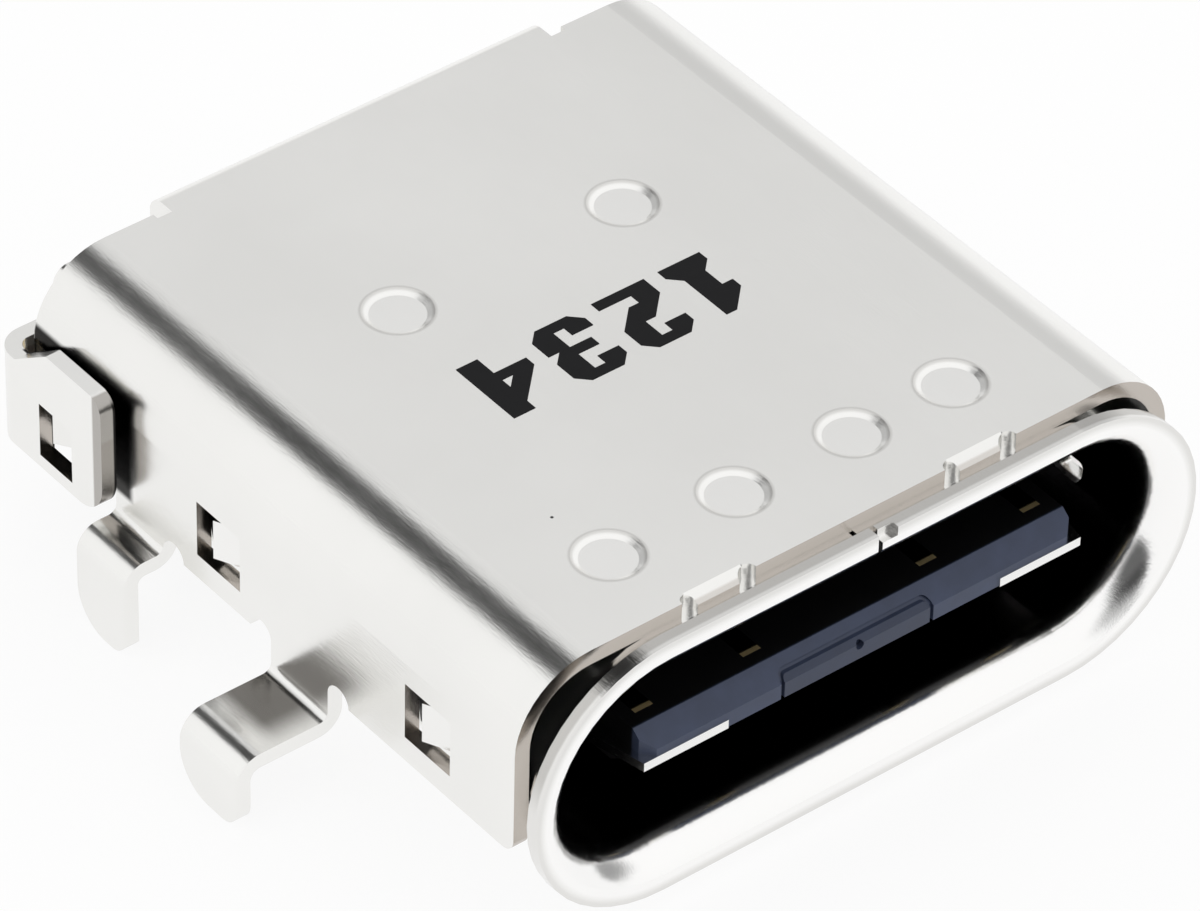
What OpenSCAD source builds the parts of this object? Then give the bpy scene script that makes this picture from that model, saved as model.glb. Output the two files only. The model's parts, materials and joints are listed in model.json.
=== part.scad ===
// Right-angle USB-C receptacle that sits sunk into the edge of a circuit board.
// Millimetres. +X to the right seen from the plug, +Y into the connector, +Z up.
// The origin is the centre of the mouth on the plane of the front rim.

/* [Mouth] */
// Width of the opening that the plug enters
mouth_w = 8.34; // [8.2:0.02:8.5]
// Height of the opening
mouth_h = 2.56; // [2.5:0.02:2.7]
// Depth from the front rim to the wall at the root of the tongue
mouth_depth = 4.65; // [4.2:0.05:5.4]

/* [Inner shell] */
// Sheet thickness of the inner shell
inner_t = 0.22; // [0.15:0.01:0.25]
// How far the rim stands out past the opening
flare = 0.29; // [0.15:0.01:0.35]
// Length of the flared stretch
flare_len = 0.45; // [0.35:0.01:0.48]
// Length of the inner shell
inner_len = 8.9; // [8.5:0.05:9.2]
// Width of the seam along the top
seam_w = 0.06; // [0.03:0.01:0.1]

/* [Outer cover] */
// Sheet thickness of the cover
cover_t = 0.2; // [0.15:0.01:0.22]
// Distance from the front rim back to the cover's front edge
cover_front = 0.5; // [0.48:0.01:0.6]
// Outside radius of the bends along the top
cover_bend = 1; // [0.8:0.05:1.1]
// Distance from the inner shell's rear edge to the outside of the rear wall
rear_gap = 0.75; // [0.7:0.01:0.9]
// How far the side walls end short of the outside of the rear wall
wall_inset = 0.35; // [0.31:0.01:0.45]
// How far the side walls reach below the middle of the mouth
wall_drop = 0.7; // [0.6:0.05:0.8]
// Clearance between the cover's side walls and the inner shell
side_gap = 0.01; // [0.01:0.01:0.05]

/* [Wrap tabs] */
// Gap between a side wall and the tab that wraps round it
tab_gap = 0.13; // [0.1:0.01:0.2]
// Length of the tabs, measured from the outside of the rear wall
tab_len = 2.09; // [1.9:0.01:2.3]
// Height of the left tab's top edge
tab_top = 1.08; // [0.9:0.02:1.2]
// Height of the strap where it leaves the rear wall
strap_top = 0.64; // [0.6:0.02:0.8]
// How far the rear wall and the tabs reach below the middle of the mouth
tab_drop = 0.63; // [0.5:0.01:0.75]

/* [Windows] */
// Length and height of the windows in the side walls
window = [0.8, 0.77]; // [0.6:0.01:0.9]
// Centres of the windows, measured from the front rim
window_y = [2.02, 5.82]; // [1.8:0.02:6.1]
// Length and height of the windows in the wrap tabs
tab_window = [0.62, 0.75]; // [0.5:0.01:0.8]
// Distance from the outside of the rear wall to the centre of the tab windows
tab_window_inset = 1.2; // [1.15:0.01:1.25]
// How far a snap tongue stands out at its free end
snap_out = 0.19; // [0.15:0.01:0.2]

/* [Solder legs] */
// Width of the front legs
front_leg_w = 1.04; // [0.9:0.02:1.1]
// Width of the rear legs
rear_leg_w = 0.9; // [0.8:0.02:1]
// Middle of the front legs
front_leg_y = 4.33; // [4.2:0.01:4.5]
// Middle of the rear legs
rear_leg_y = 7.31; // [7.3:0.01:7.35]
// Distance from the middle to the outside of the front legs
front_leg_x = 5.86; // [5.8:0.02:6.2]
// Distance from the middle to the outside of the rear legs
rear_leg_x = 5.16; // [5.14:0.01:5.3]
// How far the board's top lies below the middle of the mouth
board_drop = 1.31; // [1.3:0.01:1.34]
// Step from the front legs' shoulders up to the rear legs' shoulders
leg_step = 0.33; // [0.28:0.01:0.36]
// How far the legs reach below the board's top
leg_reach = 0.76; // [0.7:0.02:1]

/* [Tongue] */
// Plastic left beside the outermost contacts
carrier_edge = 0.3; // [0.25:0.01:0.35]
// How far the mid plate stands out beside the plastic
plate_edge = 0.295; // [0.25:0.005:0.35]
// Thickness of the tongue
tongue_t = 0.7; // [0.66:0.01:0.74]
// Distance from the front rim back to the tongue's tip
tongue_tip = 0.15; // [0.1:0.01:0.3]
// Thickness of the mid plate
plate_t = 0.12; // [0.1:0.01:0.15]

/* [Contacts] */
// Distance from contact to contact
pitch = 0.5; // [0.5:0.01:0.5]
// Contacts in each row
contact_count = 12; // [12:1:12]
// Width of a contact
contact_w = 0.25; // [0.2:0.01:0.3]
// Thickness of a contact
contact_t = 0.1; // [0.08:0.01:0.12]
// Front end of the ground and power contacts
contact_tip = 0.6; // [0.55:0.01:0.7]
// How much further back the signal contacts start
signal_setback = 0.6; // [0.5:0.05:0.8]

/* [Hidden] */
UPPER_ROW = [for (i = [1:contact_count]) str("contact_a", i)];
LOWER_ROW = [for (i = [1:contact_count]) str("contact_b", i)];

$fn = 64;
// Overlap that lets a cut pass cleanly through a face
through = 0.5;

// Mouth and inner shell
end_r = mouth_h / 2;
end_x = mouth_w / 2 - end_r;
neck_r = end_r + inner_t;
rim_r = neck_r + flare;
flare_r = (flare_len * flare_len + flare * flare) / (2 * flare);
inner_side = mouth_w / 2 + inner_t;
belly_len = 2;
belly_x = 3.55;
belly_y = inner_len - belly_len;
lip_notch = [0.24, 0.1, 0.12];

snap_len = 0.47;
snap_slot = [0.46, 0.46];

// Outer cover
cover_side = inner_side + side_gap + cover_t;
cover_top = neck_r + cover_t;
rear_y = inner_len + rear_gap;
cover_back = rear_y - wall_inset;
tab_front = rear_y - tab_len;
tab_window_y = rear_y - tab_window_inset;
rear_bend = 0.24;
corner_bend = 0.35;
rear_flange = 2.72;
relief_w = 0.2;
relief_y = cover_back - 0.08;
rear_shoulder_x = 4.08;
rear_shoulder_z = 1.24;
rear_fillet = 0.28;
tab_side = cover_side + tab_gap + cover_t;
wall_notch_y = rear_y - 1.7;
wall_notch_z = 0.33;
weld_r = 0.42;
weld_depth = 0.05;
weld_front_y = 1.6;
weld_rear_y = 6.28;
weld_front_x = [-2.48, -0.74, 0.92, 2.34];
weld_rear_x = [-1.76, 1.44];
edge_tab = [1.44, 2.24];
edge_notch_r = 0.11;
edge_bevel = 0.13;

// Legs
front_shoulder = board_drop - cover_t;
rear_shoulder = front_shoulder - leg_step;
leg_root_r = 0.12;
front_knee_r = 0.34;
rear_knee_r = 0.3;
relief_r = 0.19;
tip_z = -(board_drop + leg_reach);

// Tongue and housing
half_t = tongue_t / 2;
plate_z = plate_t / 2;
housing_inset = 0.2;
housing_back = inner_len - housing_inset;
carrier_x = (contact_count - 1) / 2 * pitch + carrier_edge;
tongue_w = 2 * (carrier_x + plate_edge);
carrier_tip = tongue_tip + 0.02;
nose_half = 1.93;
nose_back = tongue_tip + 0.3;
lower_setback = 0.36;
lead_in = [0.25, 0.2];
panel_x = [-1.18, 0.98];
panel_top = 0.26;
panel_groove = 0.05;
step_y = 3.9;
step_half = 0.55;
pad_t = 0.1;
pad_x = 2.8;
plug_latch_y = [2.75, 3.75];
plug_latch_x = 0.45;
plate_leg_y = [housing_back - 0.8, housing_back - 0.4];
plate_nose_x = carrier_x + 0.05;
plate_taper = 0.14;
plate_taper_len = 0.6;
plate_corner_len = 0.4;
housing_gap = 0.02;

// Contacts
upper_drop_y = housing_back + 0.28;
tail_back = rear_y + 0.3;
lower_drop_y = [housing_back - 1.35, housing_back - 0.65];
pin_tip = 1.95;
contact_bend = 0.18;

// ---------- drawing planes ----------

// Extrudes an X-Z outline along Y
module along(y0, y1) {
  translate([0, y1, 0]) rotate([90, 0, 0]) linear_extrude(y1 - y0) children();
}

// Extrudes a Y-Z outline along X
module across(x0, x1) {
  translate([x0, 0, 0]) rotate([90, 0, 90]) linear_extrude(x1 - x0) children();
}

// Extrudes an X-Y outline along Z
module upward(z0, z1) {
  translate([0, 0, z0]) linear_extrude(z1 - z0) children();
}

// The children and their mirror image about the middle plane
module both_sides() {
  children();
  mirror([1, 0, 0]) children();
}

// Rectangle between two corners
module rect(x0, y0, x1, y1) {
  translate([x0, y0]) square([x1 - x0, y1 - y0]);
}

// Rectangle with all four corners rounded
module round_rect(x0, y0, x1, y1, r) {
  rect(x0 + r, y0, x1 - r, y1);
  rect(x0, y0 + r, x1, y1 - r);
  for (x = [x0 + r, x1 - r], y = [y0 + r, y1 - r]) translate([x, y]) circle(r);
}

// Quarter of a ring about the origin, in the quadrant of sx and sy
module quarter_ring(r, t, sx, sy) {
  intersection() {
    difference() {
      circle(r);
      circle(r - t);
    }
    scale_quadrant(r, sx, sy);
  }
}

// Square that covers one quadrant
module scale_quadrant(r, sx, sy) {
  rect(min(0, sx * r), min(0, sy * r), max(0, sx * r), max(0, sy * r));
}

// Oval with flat top and bottom and full round ends
module oval(half_w, half_h) {
  rect(-(half_w - half_h), -half_h, half_w - half_h, half_h);
  for (s = [-1, 1]) translate([s * (half_w - half_h), 0]) circle(half_h);
}

// ---------- inner shell ----------

// Wall section of the flared tube: radius to the right, depth upwards
module tube_wall() {
  rect(end_r, flare_len, neck_r, inner_len);
  intersection() {
    rect(end_r, 0, rim_r, flare_len);
    translate([end_r + flare_r, flare_len]) difference() {
      circle(flare_r);
      circle(flare_r - inner_t);
    }
  }
}

module tube() {
  for (s = [-1, 1])
    translate([s * end_x, 0, 0]) rotate([-90, 0, 0]) rotate([0, 0, -90 * s])
      rotate_extrude(angle = 180) tube_wall();
  for (s = [0, 1])
    mirror([0, 0, s]) translate([end_x, 0, 0]) rotate([0, -90, 0])
      linear_extrude(2 * end_x) tube_wall();
}

// Gap in the tube wall that a snap tongue leaves, Y-Z outline
module snap_gap(y) {
  rect(y - window[0] / 2 + 0.06, -0.27, y + window[0] / 2 + 0.02, 0.34);
}

// Relief slot that runs forward from under the front snap tongues, Y-Z outline
module snap_relief(y) {
  front = y - window[0] / 2 - snap_slot[0] + 0.12;
  round_rect(front, -snap_slot[1], front + snap_slot[0], -0.2, 0.1);
}

// Tongue cut from the tube wall and bent out into the window, X-Y outline
module snap_tongue(y) {
  root = y - window[0] / 2 + 0.05;
  tip = root + snap_len;
  polygon([
    [-inner_side + inner_t, root],
    [-inner_side + 0.04, root],
    [-inner_side - snap_out, tip],
    [-inner_side - snap_out + inner_t * 0.9, tip + 0.06],
    [-inner_side + inner_t, root + 0.12]]);
}

module inner_shell() {
  color([0.86, 0.86, 0.84]) {
    difference() {
      tube();
      // seam along the top
      upward(0, rim_r + through) rect(-seam_w / 2, -through, seam_w / 2, inner_len + through);
      // step beside the seam on the rim
      upward(rim_r - lip_notch[2], rim_r + through) rect(0, -through, lip_notch[0], lip_notch[1]);
      // opening under the rear, where the housing meets the board
      upward(-rim_r, -0.2) rect(-belly_x, belly_y, belly_x, inner_len + through);
      for (y = window_y) across(-inner_side - through, inner_side + through) snap_gap(y);
      across(-inner_side - through, inner_side + through) snap_relief(window_y[0]);
    }
    both_sides() for (y = window_y) upward(-0.24, 0.31) snap_tongue(y);
  }
}

// ---------- outer cover ----------

// Top and side walls, X-Z section
module channel_section() {
  inner_r = cover_bend - cover_t;
  difference() {
    channel_fill(cover_side, cover_top, cover_bend, 3);
    channel_fill(cover_side - cover_t, cover_top - cover_t, inner_r, 3 + through);
  }
}

module channel_fill(half_w, top, r, drop) {
  rect(-half_w, -drop, half_w, top - r);
  rect(-(half_w - r), -drop, half_w - r, top);
  for (s = [-1, 1]) translate([s * (half_w - r), top - r]) circle(r);
}

// Side view of the walls above the legs, Y-Z
module wall_outline() {
  corner = 0.2;
  difference() {
    union() {
      rect(cover_front, -wall_drop + corner, wall_notch_y, cover_top + through);
      rect(cover_front + corner, -wall_drop, wall_notch_y, 0);
      translate([cover_front + corner, -wall_drop + corner]) circle(corner);
      rect(wall_notch_y - through, -wall_notch_z, cover_back, cover_top + through);
      leg_neck(front_leg_y, front_leg_w, front_shoulder - leg_root_r);
      leg_neck(rear_leg_y, rear_leg_w, rear_shoulder - leg_root_r);
    }
    // reliefs beside the legs
    for (s = [-1, 1]) {
      translate([front_leg_y + s * (front_leg_w / 2 + relief_r), -wall_drop]) circle(relief_r);
      translate([rear_leg_y + s * (rear_leg_w / 2 + relief_r), -wall_drop]) circle(relief_r);
    }
    translate([wall_notch_y, -wall_drop]) rect(-relief_r, -through, through, wall_drop - wall_notch_z);
  }
}

module leg_neck(y, w, drop) {
  rect(y - w / 2, -drop, y + w / 2, 0);
}

// Wall and strap folded down at the rear, with the tabs that wrap round the sides
module rear_strap() {
  difference() {
    round_rect(-tab_side, 0, tab_side, rear_y, corner_bend);
    round_rect(-tab_side + cover_t, -through, tab_side - cover_t, rear_y - cover_t, corner_bend - cover_t);
  }
}

// Side view of the tabs, Y-Z
module tab_outline() {
  top_r = 0.22;
  low_r = 0.46;
  slope_y = [rear_y - 1.05, rear_y - 0.43];
  difference() {
    union() {
      rect(tab_front + low_r, -tab_drop, rear_y + through, strap_top);
      rect(tab_front, -tab_drop + low_r, slope_y[0], tab_top - top_r);
      rect(tab_front + top_r, 0, slope_y[0], tab_top);
      polygon([[slope_y[0] - 0.1, 0], [slope_y[1], 0], [slope_y[1], strap_top],
               [slope_y[0], tab_top], [slope_y[0] - 0.1, tab_top]]);
      translate([tab_front + low_r, -tab_drop + low_r]) circle(low_r);
      translate([tab_front + top_r, tab_top - top_r]) circle(top_r);
    }
    translate([tab_window_y, -0.08]) square(tab_window, center = true);
  }
}

// Flange that joins the top to the rear wall, Y-Z section
module rear_flange_section() {
  bend_y = rear_y - rear_bend;
  bend_z = cover_top - rear_bend;
  rect(cover_back - 0.3, cover_top - cover_t, bend_y, cover_top);
  translate([bend_y, bend_z]) quarter_ring(rear_bend, cover_t, 1, 1);
  rect(rear_y - cover_t, -tab_drop, rear_y, bend_z);
}

// Plate behind the shells, with rounded shoulders and fillets at the flange, X-Z
module rear_plate() {
  round_rect(-rear_shoulder_x, -tab_drop, rear_shoulder_x, rear_shoulder_z, 0.22);
  for (s = [0, 1]) mirror([s, 0]) {
    inside_fillet(rear_flange, rear_shoulder_z, rear_fillet);
    inside_fillet(rear_shoulder_x, strap_top, 0.14);
  }
}

// Fillet in the corner between a wall on the left and a floor below
module inside_fillet(x, y, r) {
  difference() {
    rect(x - 0.1, y - 0.1, x + r, y + r);
    translate([x + r, y + r]) circle(r);
  }
}

module rear_wall() {
  // folded flange
  across(-rear_flange, rear_flange) rear_flange_section();
  along(rear_y - cover_t, rear_y) rear_plate();
  // strap and wrap tabs: the right tab stays as low as the strap
  intersection() {
    upward(-tab_drop, tab_top) rear_strap();
    union() {
      across(-tab_side - through, 0) tab_outline();
      across(0, tab_side + through) intersection() {
        tab_outline();
        rect(0, -tab_drop, rear_y, strap_top);
      }
    }
  }
}

// Bent strip of a leg on the left side, X-Z section
module leg_section(shoulder, side, knee_r) {
  root_x = -(cover_side + leg_root_r);
  knee_x = -(side - knee_r);
  translate([root_x, -shoulder + leg_root_r]) quarter_ring(leg_root_r + cover_t, cover_t, 1, -1);
  rect(knee_x, -shoulder - cover_t, root_x, -shoulder);
  translate([knee_x, -shoulder - knee_r]) quarter_ring(knee_r, cover_t, -1, 1);
  rect(-side, tip_z, -side + cover_t, -shoulder - knee_r);
}

// Side view of a leg, Y-Z: straight front, sweeping rear edge, round tip
module leg_outline(y, w) {
  tip_r = 0.26;
  sweep_r = 0.52;
  y0 = y - w / 2;
  y1 = y + w / 2;
  rect(y0, tip_z + sweep_r, y1, through);
  rect(y0, tip_z + tip_r, y1 - sweep_r, through);
  rect(y0 + tip_r, tip_z, y1 - sweep_r, through);
  translate([y0 + tip_r, tip_z + tip_r]) circle(tip_r);
  translate([y1 - sweep_r, tip_z + sweep_r]) circle(sweep_r);
}

module leg(y, w, shoulder, side, knee_r) {
  intersection() {
    along(y - w / 2, y + w / 2) leg_section(shoulder, side, knee_r);
    across(-side - through, 0) leg_outline(y, w);
  }
}

// Short tongue bent out of the side wall into the tab's window, X-Y outline
module catch_tongue() {
  root = tab_window_y - 0.42;
  tip = tab_window_y + 0.06;
  polygon([
    [-cover_side + cover_t, root],
    [-cover_side, root],
    [-tab_side + 0.01, tip],
    [-tab_side + cover_t, tip + 0.05],
    [-cover_side + cover_t, root + 0.12]]);
}

// Dished mark of a spot weld
module weld_mark(x, y) {
  translate([x, y, cover_top - weld_depth])
    cylinder(h = weld_depth + 0.001, r1 = weld_r - 0.09, r2 = weld_r);
}

// Notches and bevel that set off the two short tabs on the front edge
module front_edge_cuts() {
  upward(cover_top - cover_t - through, cover_top + through)
    for (x = edge_tab) translate([x, cover_front]) {
      circle(edge_notch_r);
      rect(-edge_notch_r, -through, edge_notch_r, 0);
    }
  across(edge_tab[0], edge_tab[1]) translate([cover_front, cover_top])
    polygon([[-through, -edge_bevel - through], [-through, through],
             [edge_bevel + through, through]]);
}

module outer_cover() {
  color([0.83, 0.83, 0.81]) {
    difference() {
      union() {
        intersection() {
          along(cover_front, cover_back) channel_section();
          across(-cover_side - through, cover_side + through) wall_outline();
        }
        rear_wall();
        both_sides() {
          leg(front_leg_y, front_leg_w, front_shoulder, front_leg_x, front_knee_r);
          leg(rear_leg_y, rear_leg_w, rear_shoulder, rear_leg_x, rear_knee_r);
        }
      }
      // windows in the side walls
      for (y = window_y) across(-cover_side - 0.02, cover_side + 0.02)
        translate([y, 0.02]) square(window, center = true);
      // gaps left by the catches in the side walls
      across(-cover_side - 0.02, cover_side + 0.02)
        rect(tab_window_y - 0.4, -0.15, tab_window_y + 0.2, 0.3);
      // reliefs at both ends of the rear flange
      both_sides() upward(cover_top - cover_t - through, cover_top + through)
        rect(rear_flange, relief_y, rear_flange + relief_w, rear_y);
      for (x = weld_front_x) weld_mark(x, weld_front_y);
      for (x = weld_rear_x) weld_mark(x, weld_rear_y);
      both_sides() front_edge_cuts();
    }
    both_sides() upward(-0.13, 0.28) catch_tongue();
  }
}

// ---------- tongue ----------

// Plan of the mid plate, X-Y
module plate_plan() {
  half_w = tongue_w / 2;
  taper_y = tongue_tip + plate_taper_len;
  difference() {
    union() {
      polygon([
        [-plate_nose_x, tongue_tip], [plate_nose_x, tongue_tip],
        [plate_nose_x + plate_taper, taper_y], [half_w, taper_y + plate_corner_len],
        [half_w, housing_back], [-half_w, housing_back],
        [-half_w, taper_y + plate_corner_len], [-plate_nose_x - plate_taper, taper_y]]);
    }
    // the moulding wraps the middle of the front edge
    rect(-nose_half, tongue_tip - through, nose_half, nose_back);
    // recesses for the plug's side latches
    for (s = [-1, 1]) translate([s * half_w, 0])
      rect(-plug_latch_x, plug_latch_y[0], plug_latch_x, plug_latch_y[1]);
  }
}

// Legs folded down from the plate's sides at the rear
module plate_leg() {
  half_w = tongue_w / 2;
  upward(-pin_tip, 0) rect(half_w - plate_t, plate_leg_y[0], half_w, plate_leg_y[1]);
}

module mid_plate() {
  color([0.9, 0.9, 0.89]) {
    upward(-plate_z, plate_z) plate_plan();
    both_sides() plate_leg();
  }
}

// Upper half of the tongue with its sloped lead-in, Y-Z section
module upper_half() {
  polygon([
    [carrier_tip, plate_z], [carrier_tip, half_t - lead_in[1]],
    [carrier_tip + lead_in[0], half_t], [housing_back, half_t], [housing_back, plate_z]]);
}

// Lower half of the tongue, Y-Z section
module lower_half() {
  tip = carrier_tip + lower_setback;
  polygon([
    [tip, -plate_z], [tip, -half_t + lead_in[1]], [tip + lead_in[0], -half_t],
    [housing_back, -half_t], [housing_back, -plate_z]]);
}

// Nose that wraps the front edge of the mid plate
module nose() {
  across(-nose_half, nose_half) rect(carrier_tip, -plate_z, nose_back, plate_z);
}

// Outline groove of the recessed panel on the front of the nose
module nose_panel() {
  across(panel_x[0] - through, panel_x[1] + through)
    intersection() {
      rect(-through, -half_t, half_t + through, panel_top);
      translate([panel_groove, 0]) polygon([
        [-through, -half_t], [carrier_tip, -half_t], [carrier_tip, half_t - lead_in[1]],
        [carrier_tip + lead_in[0], half_t], [-through, half_t]]);
    }
}

module nose_groove() {
  rim = 0.05;
  intersection() {
    nose_panel();
    along(-through, nose_back + through) difference() {
      round_rect(panel_x[0], -half_t, panel_x[1], panel_top, 0.1);
      round_rect(panel_x[0] + rim, -2 * half_t, panel_x[1] - rim, panel_top - rim, 0.06);
    }
  }
  // gate mark
  translate([-0.07, carrier_tip + 0.08, 0.13]) rotate([90, 0, 0]) cylinder(h = through, r = 0.055);
}

module upper_carrier() {
  color([0.33, 0.36, 0.46]) difference() {
    union() {
      intersection() {
        across(-carrier_x, carrier_x) upper_half();
        upward(0, half_t) carrier_plan();
      }
      nose();
    }
    nose_groove();
    for (i = [1:contact_count]) upper_contact(i);
  }
}

module lower_carrier() {
  color([0.1, 0.1, 0.11]) difference() {
    intersection() {
      across(-carrier_x, carrier_x) lower_half();
      upward(-half_t, 0) carrier_plan();
    }
    for (i = [1:contact_count]) lower_contact(i);
  }
}

// Plan of both carriers, with the front corners cut back
module carrier_plan() {
  corner = 0.14;
  polygon([
    [-carrier_x + corner, carrier_tip], [carrier_x - corner, carrier_tip],
    [carrier_x, carrier_tip + corner], [carrier_x, housing_back],
    [-carrier_x, housing_back], [-carrier_x, carrier_tip + corner]]);
}

// Block behind the mouth that fills the tube and holds the tongue
module rear_housing() {
  color([0.12, 0.12, 0.13]) difference() {
    union() {
      along(mouth_depth, housing_back) oval(mouth_w / 2 - housing_gap, mouth_h / 2);
      // step at the root of the tongue that carries the ground pads
      along(step_y, mouth_depth) round_rect(-pad_x, -step_half, pad_x, step_half, 0.12);
    }
    // slot for the tongue
    along(step_y - through, housing_back + through) {
      rect(-carrier_x, -half_t, carrier_x, half_t);
      rect(-tongue_w / 2, -plate_z, tongue_w / 2, plate_z);
    }
    both_sides() plate_leg();
    for (i = [1:contact_count]) lower_contact(i);
    upper_pad_solid();
    mirror([0, 0, 1]) upper_pad_solid();
  }
}

// Stamped pad on the step, with a lip over the step's front, Y-Z section
module upper_pad_solid() {
  across(-pad_x + 0.1, pad_x - 0.1)
    polygon([
      [step_y - pad_t, step_half - 0.12], [step_y, step_half - 0.12], [step_y, step_half],
      [mouth_depth + 0.4, step_half], [mouth_depth + 0.4, step_half + pad_t],
      [step_y - pad_t, step_half + pad_t]]);
}

module upper_ground_pad() {
  color([0.85, 0.85, 0.83]) upper_pad_solid();
}

module lower_ground_pad() {
  color([0.85, 0.85, 0.83]) mirror([0, 0, 1]) upper_pad_solid();
}

// ---------- contacts ----------

// Ground and power contacts reach further forward than signal contacts
function contact_front(i) =
  let (k = min(i, contact_count + 1 - i))
  k == 1 || k == 4 ? contact_tip : contact_tip + signal_setback;

function contact_x(i) = (i - (contact_count + 1) / 2) * pitch;

// Strip along the tongue, down behind the housing and out as a surface-mount tail
module upper_contact(i) {
  z1 = half_t;
  z0 = z1 - contact_t;
  foot = -board_drop;
  bend_y = upper_drop_y - contact_bend;
  translate([contact_x(i), 0, 0]) across(-contact_w / 2, contact_w / 2) {
    rect(contact_front(i), z0, bend_y, z1);
    translate([bend_y, z1 - contact_bend]) quarter_ring(contact_bend, contact_t, 1, 1);
    rect(upper_drop_y - contact_t, foot + contact_bend, upper_drop_y, z1 - contact_bend);
    translate([upper_drop_y - contact_t + contact_bend, foot + contact_bend])
      quarter_ring(contact_bend, contact_t, -1, -1);
    rect(upper_drop_y - contact_t + contact_bend, foot, tail_back, foot + contact_t);
  }
}

// Strip under the tongue and down through the housing as a board pin
module lower_contact(i) {
  drop_y = lower_drop_y[i % 2];
  z0 = -half_t;
  z1 = z0 + contact_t;
  translate([contact_x(i), 0, 0]) across(-contact_w / 2, contact_w / 2) {
    rect(contact_front(i), z0, drop_y - contact_bend, z1);
    translate([drop_y - contact_bend, z1 - contact_bend]) quarter_ring(contact_bend, contact_t, 1, 1);
    rect(drop_y - contact_t, -pin_tip, drop_y, z1 - contact_bend);
  }
}

module gilded_upper(i) {
  color([0.83, 0.68, 0.38]) upper_contact(i);
}

module gilded_lower(i) {
  color([0.83, 0.68, 0.38]) lower_contact(i);
}

outer_cover();
inner_shell();
mid_plate();
upper_carrier();
lower_carrier();
rear_housing();
upper_ground_pad();
lower_ground_pad();
for (i = [1:contact_count]) gilded_upper(i);
for (i = [1:contact_count]) gilded_lower(i);
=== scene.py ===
"""USB-C socket on a plain white floor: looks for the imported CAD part. Metres, +Z up."""
import json
import math

import bpy
from mathutils import Matrix, Vector

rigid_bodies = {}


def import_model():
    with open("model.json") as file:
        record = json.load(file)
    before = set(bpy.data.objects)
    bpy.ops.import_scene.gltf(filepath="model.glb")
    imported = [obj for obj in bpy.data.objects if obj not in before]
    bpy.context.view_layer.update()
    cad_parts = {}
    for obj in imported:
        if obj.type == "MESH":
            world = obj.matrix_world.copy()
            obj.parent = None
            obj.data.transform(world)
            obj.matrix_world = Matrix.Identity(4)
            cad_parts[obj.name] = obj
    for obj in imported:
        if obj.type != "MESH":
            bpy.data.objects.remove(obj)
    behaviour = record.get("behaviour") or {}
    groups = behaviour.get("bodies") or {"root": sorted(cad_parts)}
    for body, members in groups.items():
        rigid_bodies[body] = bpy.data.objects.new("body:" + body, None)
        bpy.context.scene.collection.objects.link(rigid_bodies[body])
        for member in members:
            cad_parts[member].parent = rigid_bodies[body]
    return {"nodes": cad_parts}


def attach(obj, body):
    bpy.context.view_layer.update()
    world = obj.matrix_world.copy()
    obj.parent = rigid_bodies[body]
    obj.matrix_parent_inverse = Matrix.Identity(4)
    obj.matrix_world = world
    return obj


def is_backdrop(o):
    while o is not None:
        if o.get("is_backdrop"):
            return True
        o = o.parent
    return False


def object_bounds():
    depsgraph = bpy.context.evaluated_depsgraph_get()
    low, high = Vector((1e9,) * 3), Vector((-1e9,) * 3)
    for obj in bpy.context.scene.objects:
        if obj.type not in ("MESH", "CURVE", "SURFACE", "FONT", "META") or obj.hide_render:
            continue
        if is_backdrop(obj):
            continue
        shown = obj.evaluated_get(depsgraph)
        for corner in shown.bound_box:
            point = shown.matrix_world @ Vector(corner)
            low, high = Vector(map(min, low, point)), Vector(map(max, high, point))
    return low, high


MM = 0.001

# Empty the scene
for block in list(bpy.data.objects):
    bpy.data.objects.remove(block)
for block in list(bpy.data.materials):
    bpy.data.materials.remove(block)

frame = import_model()
nodes = frame["nodes"]
scene = bpy.context.scene


def as_lists(bounds):
    return [[float(v) for v in corner] for corner in bounds]


sizes = {"cad": as_lists(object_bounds())}

# ---------- camera: long lens from the front left, above ----------

AZ, EL, ROLL = (math.radians(v) for v in (-39.236, 40.032, 1.397))
DISTANCE = 93.461
TARGET = Vector((-0.404, 4.482, 0.181))
back = Vector((math.sin(AZ) * math.cos(EL), -math.cos(AZ) * math.cos(EL), math.sin(EL)))
side = Vector((0, 0, 1)).cross(back).normalized()
above = back.cross(side)
right = side * math.cos(ROLL) + above * math.sin(ROLL)
up = above * math.cos(ROLL) - side * math.sin(ROLL)

camera_data = bpy.data.cameras.new("camera")
camera = bpy.data.objects.new("camera", camera_data)
scene.collection.objects.link(camera)
place = (TARGET + back * DISTANCE) * MM
camera.matrix_world = Matrix((
    (right.x, up.x, back.x, place.x),
    (right.y, up.y, back.y, place.y),
    (right.z, up.z, back.z, place.z),
    (0, 0, 0, 1)))
camera_data.sensor_width = 36
camera_data.lens = 250.5
camera_data.shift_x = 0.0074
camera_data.shift_y = -0.0040
camera_data.clip_start = 0.001
camera_data.clip_end = 10
scene.camera = camera

# ---------- node helpers ----------


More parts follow.
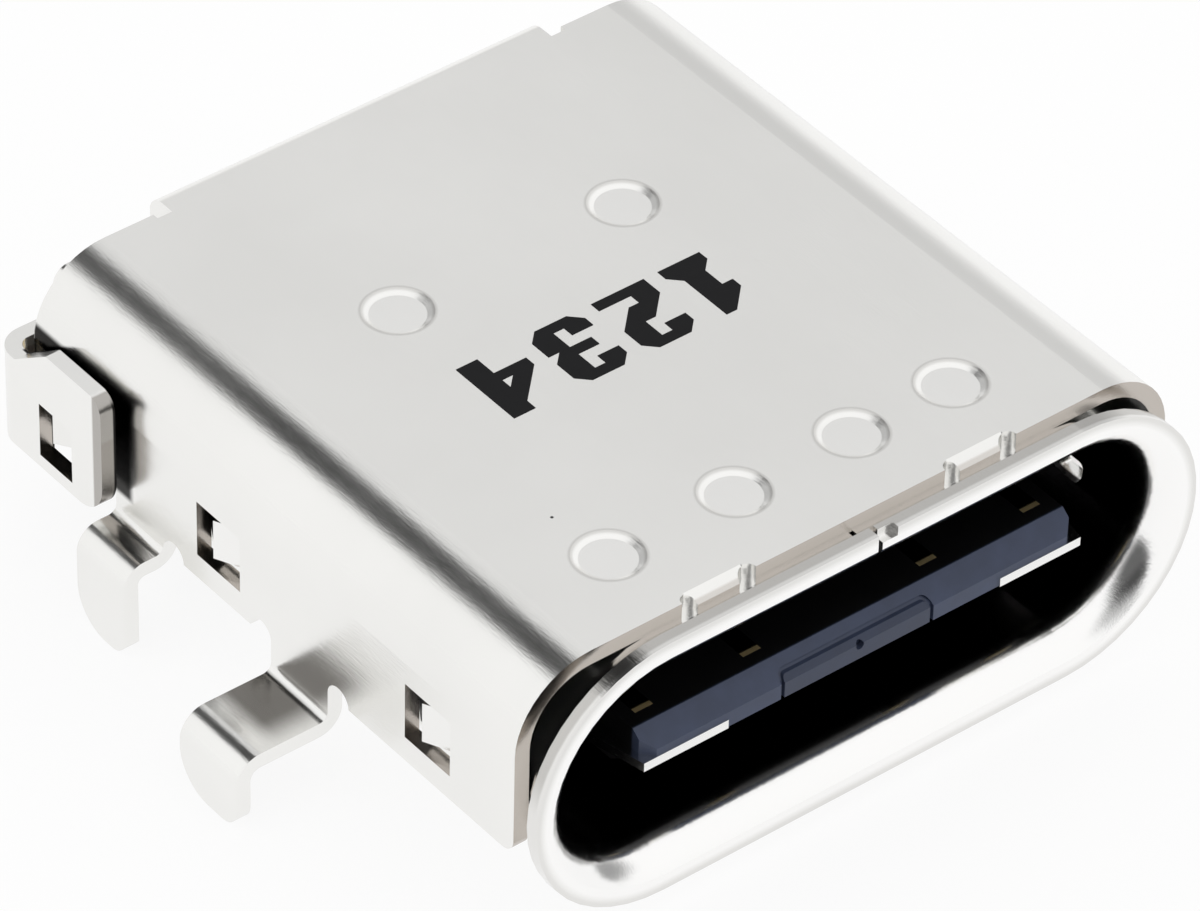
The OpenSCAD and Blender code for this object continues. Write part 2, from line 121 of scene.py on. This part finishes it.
class Tree:
    """Short calls for the nodes of one tree. Numbers and sockets are both taken as inputs."""

    def __init__(self, tree):
        self.tree = tree

    def node(self, kind, **props):
        made = self.tree.nodes.new(kind)
        for key, value in props.items():
            setattr(made, key, value)
        return made

    def feed(self, socket, value):
        if isinstance(value, bpy.types.NodeSocket):
            self.tree.links.new(value, socket)
        elif isinstance(value, tuple) and len(value) == 3 and socket.type == "RGBA":
            socket.default_value = (*value, 1)
        else:
            socket.default_value = value

    def math(self, op, a, b=0.0, clamp=False):
        made = self.node("ShaderNodeMath", operation=op, use_clamp=clamp)
        self.feed(made.inputs[0], a)
        if len(made.inputs) > 1:
            self.feed(made.inputs[1], b)
        return made.outputs[0]

    def vector(self, op, a, b):
        made = self.node("ShaderNodeVectorMath", operation=op)
        self.feed(made.inputs[0], a)
        self.feed(made.inputs[1], b)
        return made.outputs["Value" if op in ("DOT_PRODUCT", "DISTANCE") else "Vector"]

    def step(self, value, low, high, start=0.0, end=1.0):
        """Smooth ramp from start at low to end at high."""
        made = self.node("ShaderNodeMapRange", interpolation_type="SMOOTHSTEP")
        for slot, entry in zip(range(5), (value, low, high, start, end)):
            self.feed(made.inputs[slot], entry)
        return made.outputs[0]

    def ramp(self, value, low, high, start=0.0, end=1.0):
        made = self.node("ShaderNodeMapRange")
        for slot, entry in zip(range(5), (value, low, high, start, end)):
            self.feed(made.inputs[slot], entry)
        return made.outputs[0]

    def mix(self, factor, a, b):
        made = self.node("ShaderNodeMix", data_type="RGBA")
        self.feed(made.inputs["Factor"], factor)
        self.feed(made.inputs[6], a)
        self.feed(made.inputs[7], b)
        return made.outputs[2]

    def noise(self, coords, scale, detail=2.0, rough=0.5):
        made = self.node("ShaderNodeTexNoise")
        self.feed(made.inputs["Vector"], coords)
        self.feed(made.inputs["Scale"], scale)
        self.feed(made.inputs["Detail"], detail)
        self.feed(made.inputs["Roughness"], rough)
        return made.outputs[0]

    def split(self, coords):
        made = self.node("ShaderNodeSeparateXYZ")
        self.feed(made.inputs[0], coords)
        return made.outputs

    def product(self, *values):
        total = values[0]
        for value in values[1:]:
            total = self.math("MULTIPLY", total, value)
        return total

    def band(self, value, low, high, soft):
        """1 between low and high, with soft edges."""
        return self.product(self.step(value, low - soft, low + soft),
                            self.step(value, high - soft, high + soft, 1, 0))


# ---------- world: soft white studio with grey cards that only metal shows ----------

world = bpy.data.worlds.new("studio")
scene.world = world
world.use_nodes = True
sky = Tree(world.node_tree)
world.node_tree.nodes.clear()
direction = sky.node("ShaderNodeTexCoord").outputs["Generated"]

# Direction, degrees from it where the card is full and where it has faded, brightness left
CARDS = [
    ((-0.075, 0.593, 0.80), 7, 20, 0.04),
    ((0.70, 0.593, 0.38), 5, 20, 0.78),
    ((0.485, 0.593, 0.643), 12, 30, 0.82),
    ((-0.68, -0.58, 0.22), 20, 46, 0.13),
    ((0.95, -0.28, 0.12), 8, 28, 0.35),
    ((-0.05, 0.95, 0.31), 8, 30, 0.50),
    ((-0.28, -0.92, 0.30), 8, 33, 0.50),
]


def grey_card(aim, full, gone, left):
    cosine = sky.vector("DOT_PRODUCT", direction, Vector(aim).normalized())
    return sky.step(cosine, math.cos(math.radians(gone)), math.cos(math.radians(full)), 1, left)


shade = sky.product(*[grey_card(*card) for card in CARDS])
seen = sky.node("ShaderNodeLightPath").outputs["Is Camera Ray"]
level = sky.math("MAXIMUM", shade, seen)
backdrop = sky.node("ShaderNodeBackground")
sky.feed(backdrop.inputs["Color"], level)
backdrop.inputs["Strength"].default_value = 1.0
out = sky.node("ShaderNodeOutputWorld")
world.node_tree.links.new(backdrop.outputs[0], out.inputs["Surface"])

scene.view_settings.view_transform = "Standard"

# ---------- floor ----------

# The floor's own colour, and what it shows to the camera and to metal: a glow that
# brings it to white, and a little colour that keeps the shadow.
FLOOR_HALF = 600
FLOOR_COLOUR = (0.8, 0.8, 0.8)
SHOWN_COLOUR = (0.14, 0.14, 0.14)
SHOWN_GLOW = 0.88
mesh = bpy.data.meshes.new("floor")
reach = FLOOR_HALF * MM
mesh.from_pydata([(-reach, -reach, 0), (reach, -reach, 0), (reach, reach, 0), (-reach, reach, 0)],
                 [], [(0, 1, 2, 3)])
floor = bpy.data.objects.new("floor", mesh)
floor.location.z = sizes["cad"][0][2]
scene.collection.objects.link(floor)
floor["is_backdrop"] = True

paper = bpy.data.materials.new("white_paper")
paper.use_nodes = True
paper.node_tree.nodes.clear()
sheet = Tree(paper.node_tree)
rays = sheet.node("ShaderNodeLightPath").outputs
shown = sheet.math("MAXIMUM", rays["Is Camera Ray"],
                   sheet.math("MAXIMUM", rays["Is Glossy Ray"], rays["Is Transmission Ray"]))
matte = sheet.node("ShaderNodeBsdfDiffuse")
sheet.feed(matte.inputs["Color"], sheet.mix(shown, FLOOR_COLOUR, SHOWN_COLOUR))
glow = sheet.node("ShaderNodeEmission")
sheet.feed(glow.inputs["Color"], (1, 1, 1))
sheet.feed(glow.inputs["Strength"], sheet.math("MULTIPLY", shown, SHOWN_GLOW))
both = sheet.node("ShaderNodeAddShader")
paper.node_tree.links.new(matte.outputs[0], both.inputs[0])
paper.node_tree.links.new(glow.outputs[0], both.inputs[1])
clear = sheet.node("ShaderNodeBsdfTransparent")
faces = sheet.node("ShaderNodeMixShader")
sheet.feed(faces.inputs[0], sheet.node("ShaderNodeNewGeometry").outputs["Backfacing"])
paper.node_tree.links.new(both.outputs[0], faces.inputs[1])
paper.node_tree.links.new(clear.outputs[0], faces.inputs[2])
end = sheet.node("ShaderNodeOutputMaterial")
paper.node_tree.links.new(faces.outputs[0], end.inputs["Surface"])
floor.data.materials.append(paper)

# ---------- materials ----------


class Finish(Tree):
    """A Principled material whose coordinates are the part's own millimetres."""

    def __init__(self, name):
        self.material = bpy.data.materials.new(name)
        self.material.use_nodes = True
        super().__init__(self.material.node_tree)
        self.bsdf = self.tree.nodes["Principled BSDF"]
        coords = self.node("ShaderNodeTexCoord").outputs
        scaled = self.node("ShaderNodeVectorMath", operation="SCALE")
        self.feed(scaled.inputs[0], coords["Object"])
        scaled.inputs["Scale"].default_value = 1 / MM
        self.place = scaled.outputs[0]
        self.x, self.y, self.z = self.split(self.place)
        self.nx, self.ny, self.nz = self.split(coords["Normal"])

    def stretched(self, x, y, z):
        made = self.node("ShaderNodeVectorMath", operation="MULTIPLY")
        self.feed(made.inputs[0], self.place)
        self.feed(made.inputs[1], (x, y, z))
        return made.outputs[0]

    def away(self, x, y):
        """Distance from an upright line at x, y."""
        return self.vector("DISTANCE", self.stretched(1, 1, 0), Vector((x, y, 0)))

    def facing(self, component, low=0.6, high=0.8):
        return self.step(self.math("ABSOLUTE", component), low, high)

    def bump(self, height, strength, distance):
        made = self.node("ShaderNodeBump")
        self.feed(made.inputs["Height"], height)
        made.inputs["Strength"].default_value = strength
        made.inputs["Distance"].default_value = distance * MM
        self.feed(self.bsdf.inputs["Normal"], made.outputs[0])

    def done(self, colour, rough, metal=1.0):
        self.feed(self.bsdf.inputs["Base Color"], colour)
        self.feed(self.bsdf.inputs["Roughness"], rough)
        self.feed(self.bsdf.inputs["Metallic"], metal)
        return self.material


def sheet_metal(name, tint, dull, rough):
    """Plated sheet: faint clouds in its colour and gloss, and a very fine grain."""
    f = Finish(name)
    clouds = f.noise(f.place, 0.35, 3)
    grain = f.noise(f.stretched(40, 6, 40), 1.0, 3, 0.6)
    f.colour = f.mix(f.ramp(clouds, 0.35, 0.7), tint, dull)
    f.rough = f.math("ADD", f.ramp(clouds, 0.3, 0.7, rough - 0.02, rough + 0.03),
                     f.ramp(grain, 0.3, 0.7, -0.015, 0.015))
    streaks = f.noise(f.stretched(5, 1.6, 5), 1.0, 4, 0.65)
    f.bump(f.math("ADD", grain, f.math("MULTIPLY", streaks, 1.5)), 0.12, 0.01)
    return f


# Millimetres, as in the part's source: the cover's faces, its spot welds, and the
# middle and radius of the mouth's round ends
COVER_TOP = 1.70
COVER_SIDE = 4.60
COVER_FRONT = 0.50
WELDS = [(-2.48, 1.6), (-0.74, 1.6), (0.92, 1.6), (2.34, 1.6), (-1.76, 6.28), (1.44, 6.28)]
WELD_R = 0.42
SPECK = (-2.58, 2.46)
WALL_INSIDE = COVER_SIDE - 0.2
TAB_INSIDE = 4.73
END_X = 2.89
END_R = 1.28
RAW_EDGE = (0.50, 0.455, 0.41)


def cover_finish():
    f = sheet_metal("cover_plating", (0.90, 0.895, 0.875), (0.87, 0.865, 0.845), 0.2)
    wide = f.math("ABSOLUTE", f.x)
    flat = f.facing(f.nz)

    # spot welds: a paler disc with a thin dark outline
    near, *others = [f.away(x, y) for x, y in WELDS]
    for away in others:
        near = f.math("MINIMUM", near, away)
    top = f.step(f.z, COVER_TOP - 0.2, COVER_TOP - 0.1)
    ring = f.product(f.band(near, WELD_R - 0.03, WELD_R + 0.02, 0.02), top)
    disc = f.product(f.step(near, WELD_R - 0.06, WELD_R - 0.02, 1, 0), top)
    colour = f.mix(f.math("MULTIPLY", ring, 0.5), f.colour, (0.5, 0.49, 0.47))
    colour = f.mix(f.math("MULTIPLY", disc, 0.5), colour, (0.97, 0.965, 0.95))

    # raw cut edges: the front edge, and the edges of the windows
    front = f.product(f.facing(f.ny), f.step(f.y, COVER_FRONT + 0.03, COVER_FRONT + 0.06, 1, 0))
    wall = f.product(f.step(wide, WALL_INSIDE - 0.01, WALL_INSIDE + 0.01), f.band(f.z, -0.5, 0.5, 0.02))
    sill = f.product(wall, f.math("MAXIMUM", f.facing(f.ny), flat))
    raw = f.math("MAXIMUM", front, sill)
    colour = f.mix(f.math("MULTIPLY", raw, 0.9), colour, RAW_EDGE)

    # painted shade on the leg tops where the legs leave the walls, and a darker grey band along the wrap
    # tab's front edge
    # painted shade: near black on the upward faces of the leg tops
    leg_top_painted_shade = f.product(flat, f.step(wide, 4.62, 4.7), f.step(wide, 5.15, 5.45, 1, 0),
                    f.step(f.y, 3.75, 4.25), f.step(f.y, 5.0, 5.1, 1, 0),
                    f.step(f.z, -0.6, -0.5, 1, 0))
    colour = f.mix(f.math("MULTIPLY", leg_top_painted_shade, 0.85), colour, (0.09, 0.08, 0.07))
    strap = f.product(f.step(wide, 4.66, 4.7), f.band(f.y, 7.4, 7.72, 0.02), f.step(f.z, -0.62, -0.58))
    colour = f.mix(f.math("MULTIPLY", strap, 0.85), colour, (0.36, 0.34, 0.315))

    # painted shadow in the gap between the wall and the wrap tab
    # painted shadow: near black on the wall and the tab's inner face inside the gap
    gap_painted_shadow = f.product(f.step(wide, COVER_SIDE - 0.04, COVER_SIDE - 0.02),
                    f.step(wide, TAB_INSIDE + 0.02, TAB_INSIDE + 0.04, 1, 0),
                    f.step(f.y, 7.40, 7.52), f.step(f.y, 9.28, 9.32, 1, 0), f.step(f.z, 0.92, 1.04, 1, 0),
                    f.step(f.z, -0.5, -0.4))
    colour = f.mix(gap_painted_shadow, colour, (0.015, 0.014, 0.013))

    # one speck of dirt
    colour = f.mix(f.product(f.step(f.away(*SPECK), 0.012, 0.026, 1, 0), top), colour, (0.05, 0.05, 0.05))
    return f.done(colour, f.rough)


def shell_finish():
    """Rim with a painted highlight on its inner flare and painted shade on its outer edge and top, and a
    bore darkened inwards by painted shade.
    """
    f = sheet_metal("shell_plating", (0.92, 0.915, 0.90), (0.89, 0.885, 0.87), 0.14)
    beyond = f.math("MAXIMUM", f.math("SUBTRACT", f.math("ABSOLUTE", f.x), END_X), 0.0)
    radius = f.math("SQRT", f.math("ADD", f.math("MULTIPLY", beyond, beyond),
                                   f.math("MULTIPLY", f.z, f.z)))
    # painted shade: the bore turns near black inwards from the mouth
    bore_painted_shade = f.product(f.step(radius, END_R + 0.06, END_R + 0.1, 1, 0), f.step(f.y, 0.3, 0.52))
    # painted shade on the upward faces of the rim's outer top
    rim_top_painted_shade = f.product(f.step(radius, END_R + 0.42, END_R + 0.48), f.step(f.y, 0.03, 0.07),
                        f.step(f.nz, 0.1, 0.4))
    colour = f.mix(f.math("MULTIPLY", rim_top_painted_shade, 0.85), f.colour, (0.27, 0.255, 0.23))
    # painted highlight on the rim's inner flare
    flare_painted_highlight = f.product(f.step(radius, END_R + 0.36, END_R + 0.42, 1, 0), f.step(f.y, 0.3, 0.4, 1, 0))
    colour = f.mix(flare_painted_highlight, colour, (0.975, 0.97, 0.96))
    # painted shade on the rim's outer edge
    rim_edge_painted_shade = f.step(radius, END_R + 0.4, END_R + 0.48)
    colour = f.mix(f.math("MULTIPLY", rim_edge_painted_shade, 0.6), colour, (0.70, 0.69, 0.67))
    colour = f.mix(bore_painted_shade, colour, (0.03, 0.03, 0.032))
    return f.done(colour, f.rough)


def plate_finish():
    f = sheet_metal("plate_plating", (0.90, 0.90, 0.89), (0.87, 0.87, 0.86), 0.18)
    return f.done(f.colour, f.rough)


def pad_finish():
    f = sheet_metal("pad_plating", (0.86, 0.85, 0.83), (0.83, 0.82, 0.80), 0.2)
    return f.done(f.colour, f.rough)


def contact_finish():
    """Gold, with painted shade that darkens it inside the mouth behind the tip."""
    f = sheet_metal("gold_plating", (0.97, 0.80, 0.45), (0.93, 0.74, 0.40), 0.18)
    # painted shade: dark behind the tip, where the contact lies inside the mouth
    painted_shade_inside = f.band(f.y, 0.67, 4.4, 0.01)
    tip = f.step(f.y, 0.67, 0.7, 1, 0)
    rough = f.math("ADD", f.rough, f.math("MULTIPLY", tip, 0.35))
    return f.done(f.mix(painted_shade_inside, f.colour, (0.05, 0.04, 0.025)), rough)


def plastic(name, tint, rough):
    f = Finish(name)
    mottle = f.noise(f.place, 3.0, 3)
    grain = f.noise(f.place, 30, 2)
    f.colour = f.mix(f.ramp(mottle, 0.35, 0.7), tint, tuple(v * 1.25 for v in tint))
    f.rough = f.ramp(mottle, 0.3, 0.7, rough - 0.04, rough + 0.04)
    f.bump(grain, 0.08, 0.004)
    return f


def tongue_finish():
    """Blue-grey nose, with painted shade that turns it black behind its lead-in and darkens the recessed
    panel.
    """
    f = plastic("tongue_plastic", (0.054, 0.070, 0.125), 0.42)
    f.bsdf.inputs["Specular IOR Level"].default_value = 0.4
    # painted shade: black behind the lead-in, where the tongue lies inside the mouth
    behind = f.step(f.y, 0.41, 0.45)
    # painted shade in the recessed panel on the front face
    panel = f.product(f.band(f.x, -1.14, 0.94, 0.02), f.step(f.z, 0.2, 0.23, 1, 0))
    colour = f.mix(f.math("MULTIPLY", panel, 0.35), f.colour, (0.02, 0.024, 0.04))
    return f.done(f.mix(behind, colour, (0.003, 0.003, 0.0035)), f.rough, 0.0)


def ink_finish():
    f = Finish("black_ink")
    uneven = f.noise(f.place, 9, 3)
    f.bsdf.inputs["Specular IOR Level"].default_value = 0.15
    return f.done(f.mix(uneven, (0.007, 0.007, 0.008), (0.014, 0.014, 0.015)),
                  f.ramp(uneven, 0.3, 0.7, 0.6, 0.72), 0.0)


def black_finish(name):
    f = plastic(name, (0.006, 0.006, 0.007), 0.45)
    return f.done(f.colour, f.rough, 0.0)


MATERIALS = {
    "outer_cover": cover_finish(),
    "inner_shell": shell_finish(),
    "mid_plate": plate_finish(),
    "upper_carrier": tongue_finish(),
    "lower_carrier": black_finish("lower_plastic"),
    "rear_housing": black_finish("housing_plastic"),
    "upper_ground_pad": pad_finish(),
    "contact": contact_finish(),
}
MATERIALS["lower_ground_pad"] = MATERIALS["upper_ground_pad"]

for name, obj in nodes.items():
    key = "contact" if name.startswith("contact_") else name
    obj.data.materials.clear()
    obj.data.materials.append(MATERIALS[key])

# ---------- print on the cover: generic figures that read from behind ----------

# Cells of 5 by 7. a, b, c and d are half cells that leave out the corner at the
# upper left, upper right, lower left and lower right.
FIGURES = {
    "1": ("..a#.", ".a##.", ".###.", "..##.", "..##.", ".a##b", ".####"),
    "2": ("a###b", "##.##", "...##", ".a##d", "a##d.", "##...", "#####"),
    "3": ("a###b", "##.##", "...##", ".###d", "...##", "##.##", "c###d"),
    "4": ("...##", "..a##", ".a###", "a#d##", "#####", "...##", "...##"),
}
CELL = 0.15
FIGURE_STEP = 0.95
PRINT_START = (1.72, 4.02)
PRINT_Z = COVER_TOP + 0.004
CORNERS = {"#": ((0, 0), (1, 0), (1, 1), (0, 1)), "a": ((1, 0), (1, 1), (0, 1)),
           "b": ((0, 0), (1, 1), (0, 1)), "c": ((0, 0), (1, 0), (1, 1)),
           "d": ((0, 0), (1, 0), (0, 1))}
INK = ink_finish()


def add_figure(sign, place_x):
    points, faces, known = [], [], {}
    for row, line in enumerate(FIGURES[sign]):
        for column, cell in enumerate(line):
            face = []
            for x, y in CORNERS.get(cell, ()):
                spot = (column + x, row + y)
                if spot not in known:
                    known[spot] = len(points)
                    points.append(((place_x - spot[0] * CELL) * MM,
                                   (PRINT_START[1] + spot[1] * CELL) * MM, PRINT_Z * MM))
                face.append(known[spot])
            if face:
                faces.append(face)
    shape = bpy.data.meshes.new("figure_" + sign)
    shape.from_pydata(points, [], faces)
    shape.materials.append(INK)
    figure = bpy.data.objects.new("figure_" + sign, shape)
    scene.collection.objects.link(figure)
    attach(figure, "root")


for index, sign in enumerate("1234"):
    add_figure(sign, PRINT_START[0] - index * FIGURE_STEP)

sizes["visual"] = as_lists(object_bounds())
